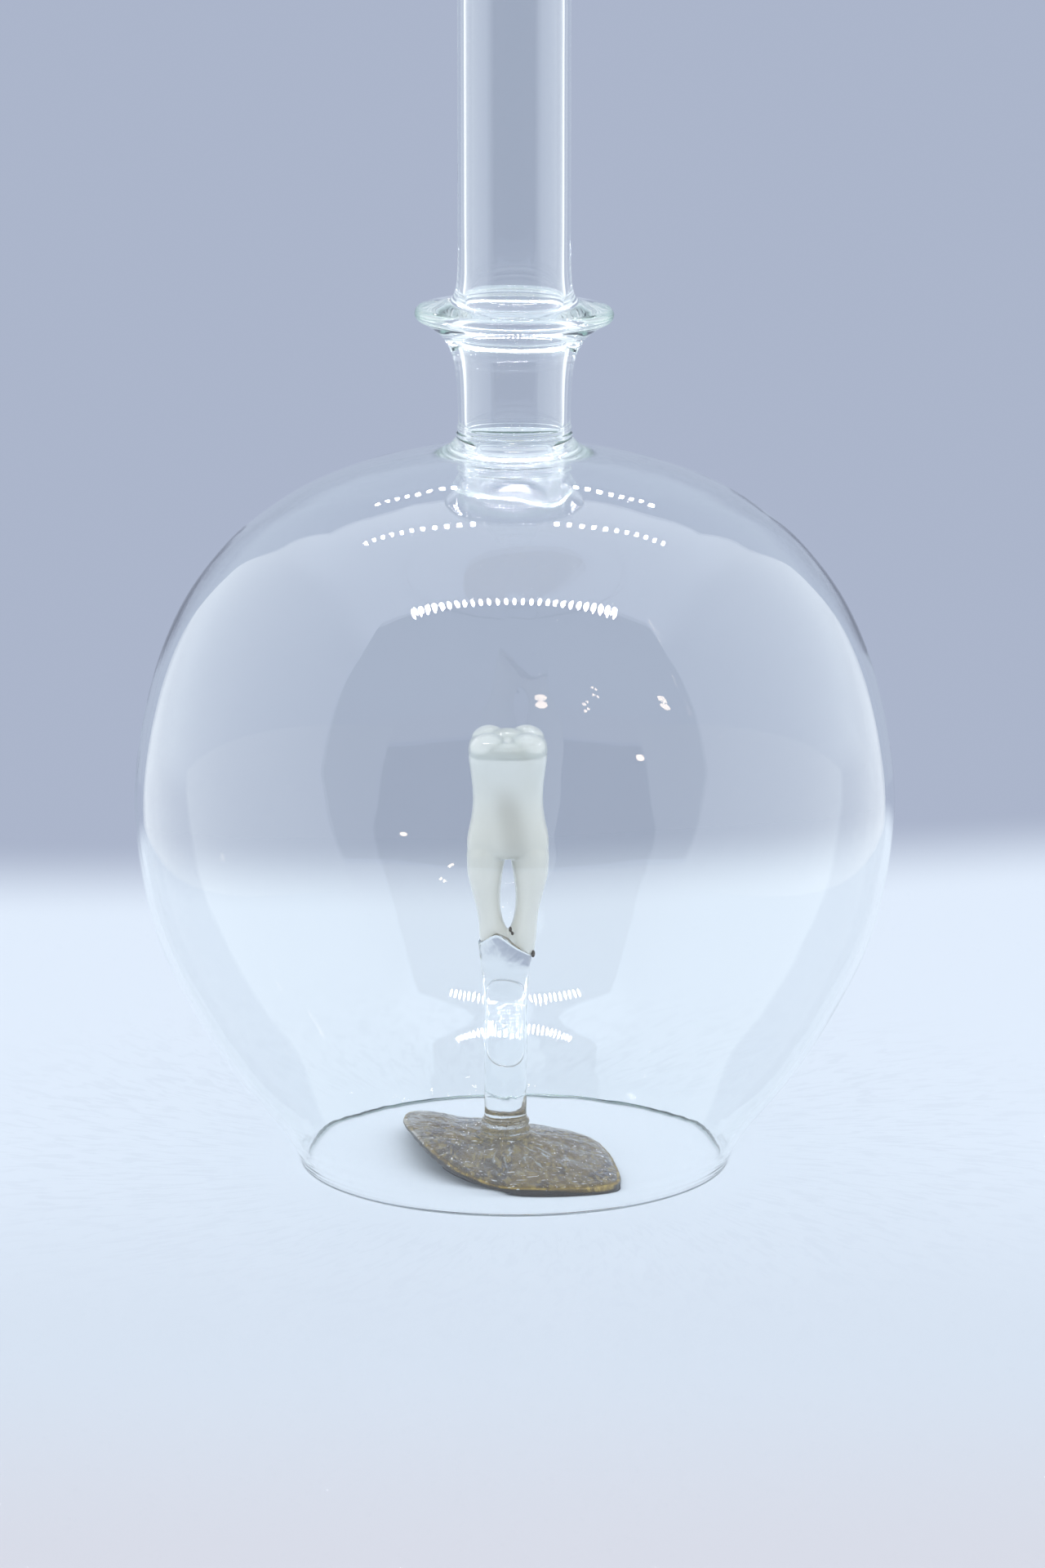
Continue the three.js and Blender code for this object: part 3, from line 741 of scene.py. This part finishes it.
def table_material():
    """A pale table that fades at its edge into the backdrop's own colour."""
    material, nodes, shader, output = new_material("stage_floor")
    x, y, _ = nodes.axes()
    colour = nodes.mix(nodes.step(y, -0.13, 0.02), TABLE_MIDWAY, TABLE_COLOUR)
    # painted shade: the table turns darker and greyer towards the front
    colour = nodes.mix(nodes.step(y, -0.25, -0.12), TABLE_FRONT_SHADE, colour)
    colour = nodes.mix(filaments(nodes, x, y), colour, FILAMENT)
    nodes.put(shader.inputs["Base Color"], colour)
    shader.inputs["Roughness"].default_value = 0.6
    shader.inputs["Specular IOR Level"].default_value = 0.15
    beyond = nodes.add("ShaderNodeEmission", Color=BACKDROP)
    fade = nodes.step(table_edge(nodes, x, y), 0.935, 1.109)
    nodes.put(output.inputs["Surface"], nodes.blend(fade, shader.outputs[0], beyond.outputs[0]))
    return material


def build_floor():
    half = 1.3 * TABLE_HALF / MM
    middle = TABLE_MIDDLE / MM
    corners = [(-half, middle - half, 0), (half, middle - half, 0), (half, middle + half, 0),
               (-half, middle + half, 0)]
    floor = make_object("stage_floor", corners, [(0, 1, 2, 3)], table_material())


def build_foot_shade():
    """The deep brown shade under the foot's curled side."""
    material, nodes, shader, _ = new_material("stage_shade")
    shader.inputs["Base Color"].default_value = (0.03, 0.016, 0.008, 1)
    shader.inputs["Roughness"].default_value = 0.9
    shader.inputs["Specular IOR Level"].default_value = 0.0
    outline = FOOT_CENTRE + (3.0, -2.5) + (FOOT_RIM - FOOT_CENTRE) * 0.86
    points = [(x, y, 0.012) for x, y in outline]
    shade = make_object("stage_shade", points, [tuple(range(len(points)))], material)


def build_world():
    """The camera, and whatever only looks through the glass, sees a plain backdrop. Rays mirrored
    once see a dark room towards the front, and rays mirrored more often a middling light. What
    scatters light gets it evenly from all sides."""
    world = bpy.data.worlds.new("room")
    bpy.context.scene.world = world
    world.use_nodes = True
    nodes = Nodes(world.node_tree)
    way = nodes.add("ShaderNodeTexCoord").outputs["Generated"]
    split = nodes.add("ShaderNodeSeparateXYZ", Vector=way)
    room = nodes.mix(nodes.step(split.outputs["Y"], 0.0, -0.04), BACKDROP, DARK_ROOM)
    colour = nodes.mix(nodes.seen_by("Glossy Depth"), BACKDROP, room)
    mirrored_again = nodes.step(nodes.add("ShaderNodeLightPath").outputs["Glossy Depth"], 1.4, 1.6)
    colour = nodes.mix(mirrored_again, colour, PIPED)
    upwards = nodes.step(split.outputs["Z"], -0.2, 0.9)
    even = nodes.mix(upwards, (0.88, 0.92, 0.97, 1), (1.18, 1.22, 1.27, 1))
    colour = nodes.mix(nodes.seen_by("Diffuse Depth"), colour, even)
    background = nodes.add("ShaderNodeBackground", Color=colour, Strength=1.0)
    output = nodes.add("ShaderNodeOutputWorld")
    nodes.put(output.inputs["Surface"], background.outputs[0])
    world.cycles.sampling_method = "NONE"


def only_mirrored(obj):
    """Hides a stage piece from the camera, from scattered light and from shadows."""
    obj.visible_camera = False
    obj.visible_diffuse = False
    obj.visible_shadow = False


TENT_HALF = 221.0  # half the tent's width
TENT_BACK = 240.0
TENT_TOP = 400.0
TENT_MOUTH = [(-122, TENT_TOP), (-150, 300), (-163, 128), (-214, 56), (-235, 0)]  # y and z


def tent_material():
    """Lit white cloth that only mirrored rays see. It is dimmer towards the tent's mouth."""
    material, nodes, output = empty_material("stage_cloth")
    _, y, z = nodes.axes()
    sides = nodes.mix(nodes.step(y, -0.16, 0.02), (0.75, 0.80, 0.86, 1), (1.04, 1.11, 1.19, 1))
    colour = nodes.mix(nodes.step(z, 0.30, 0.39), sides, (1.25, 1.34, 1.45, 1))
    cloth = nodes.add("ShaderNodeEmission", Color=colour)
    nothing = nodes.add("ShaderNodeBsdfTransparent")
    shown = nodes.math("SUBTRACT", nodes.seen_by("Glossy Depth"), nodes.seen_by("Diffuse Depth"),
                       clamp=True)
    nodes.put(output.inputs["Surface"], nodes.blend(shown, nothing.outputs[0], cloth.outputs[0]))
    return material


def build_tent():
    """Two side walls and a ceiling, open at the front."""
    outline = [(TENT_BACK, 0), (TENT_BACK, TENT_TOP), *TENT_MOUTH]
    points, faces = [], []
    for side in (-1, 1):
        faces.append(tuple(range(len(points), len(points) + len(outline))))
        points += [(side * TENT_HALF, y, z) for y, z in outline]
    top = [(-1, TENT_MOUTH[0][0]), (1, TENT_MOUTH[0][0]), (1, TENT_BACK), (-1, TENT_BACK)]
    faces.append(tuple(range(len(points), len(points) + 4)))
    points += [(side * TENT_HALF, y, TENT_TOP) for side, y in top]
    tent = make_object("stage_tent", points, faces, tent_material())
    only_mirrored(tent)


def glow(name, colour, strength):
    """A lamp's light, which scattered rays don't see."""
    material, nodes, output = empty_material(name)
    shown = nodes.product(nodes.inverse(nodes.seen_by("Diffuse Depth")), strength)
    emission = nodes.add("ShaderNodeEmission", Color=(*colour, 1), Strength=shown)
    nodes.put(output.inputs["Surface"], emission.outputs[0])
    return material


STRIP_Z = 300.0
# y of a row, half its length, its number of lamps, half a lamp's depth in y, and its strength
STRIPS = [(-98.0, 104.0, 27, 8.0, 70.0), (62.0, 118.0, 27, 2.6, 80.0), (180.0, 94.0, 25, 2.6, 80.0)]


def build_lamps():
    """Rows of small lamps under the tent's ceiling: seen only in the glass."""
    for row, (y, half, count, length, strength) in enumerate(STRIPS):
        material = glow(f"lamp_glow_{row}", (0.93, 0.92, 1.0), strength)
        parts = [blob(x, y, STRIP_Z, 1.9, length, 0.6, 8) for x in np.linspace(-half, half, count)]
        lamps = make_object(f"stage_lamps_{row}", *joined(parts), material)
        only_mirrored(lamps)


# x, z, half width and half height of the lamps in the dark room, far in front of the tent
ROOM_LAMPS = [(146, 689, 34, 26), (478, 806, 10, 11), (503, 792, 10, 11), (398, 664, 12, 10),
              (420, 682, 10, 10), (1138, 833, 60, 31), (725, 415, 31, 16)]
ROOM_LAMP_Y = -900.0


def build_room_lamps():
    """Warm lamps of the room, which show as small spots on the globe."""
    parts = [blob(x, ROOM_LAMP_Y, z, rx, 4, rz, 16) for x, z, rx, rz in ROOM_LAMPS]
    lamps = make_object("stage_room_lamps", *joined(parts), glow("room_glow", (1.0, 0.80, 0.60), 16.0))
    only_mirrored(lamps)


def build_camera():
    data = bpy.data.cameras.new("camera")
    data.lens = CAMERA_LENS
    data.sensor_width = SENSOR_WIDTH
    data.clip_start = 0.05
    data.clip_end = 20
    camera = bpy.data.objects.new("camera", data)
    camera.location = CAMERA_AT
    camera.rotation_euler = (math.radians(90 - CAMERA_PITCH), 0, 0)
    bpy.context.scene.collection.objects.link(camera)
    bpy.context.scene.camera = camera


def set_light_paths():
    """Light may bounce many times, because it runs a long way inside the rims and the neck."""
    scene = bpy.context.scene
    scene.view_settings.view_transform = "Standard"
    cycles = scene.cycles
    cycles.max_bounces = 96
    cycles.transmission_bounces = 48
    cycles.glossy_bounces = 64
    cycles.diffuse_bounces = 4
    cycles.sample_clamp_indirect = 0.0
    cycles.caustics_reflective = True
    cycles.caustics_refractive = True
    cycles.blur_glossy = 0.0


GLOBE_GLASS = clear_glass("clear_glass", (0.985, 0.995, 0.995), (0.80, 0.93, 0.87), 9.0,
                          ripple=0.05, ripple_scale=45.0)
STEM_GLASS = clear_glass("stem_clear_glass", (0.985, 0.99, 0.995), (0.86, 0.93, 0.92), 18.0,
                         ripple=0.3, ripple_scale=260.0, crinkle=1.0)
CAP_GLASS = clear_glass("cap_clear_glass", (0.985, 0.99, 0.995), (0.90, 0.95, 0.98), 8.0)

build_camera()
build_world()
build_tent()
build_floor()
build_lamps()
build_room_lamps()
build_cloche(GLOBE_GLASS)
build_foot(brown_glass())
build_foot_shade()
build_stem(STEM_GLASS)
build_tooth(opal_glass())
build_crown_cap(CAP_GLASS)
build_specks(soot())
set_light_paths()
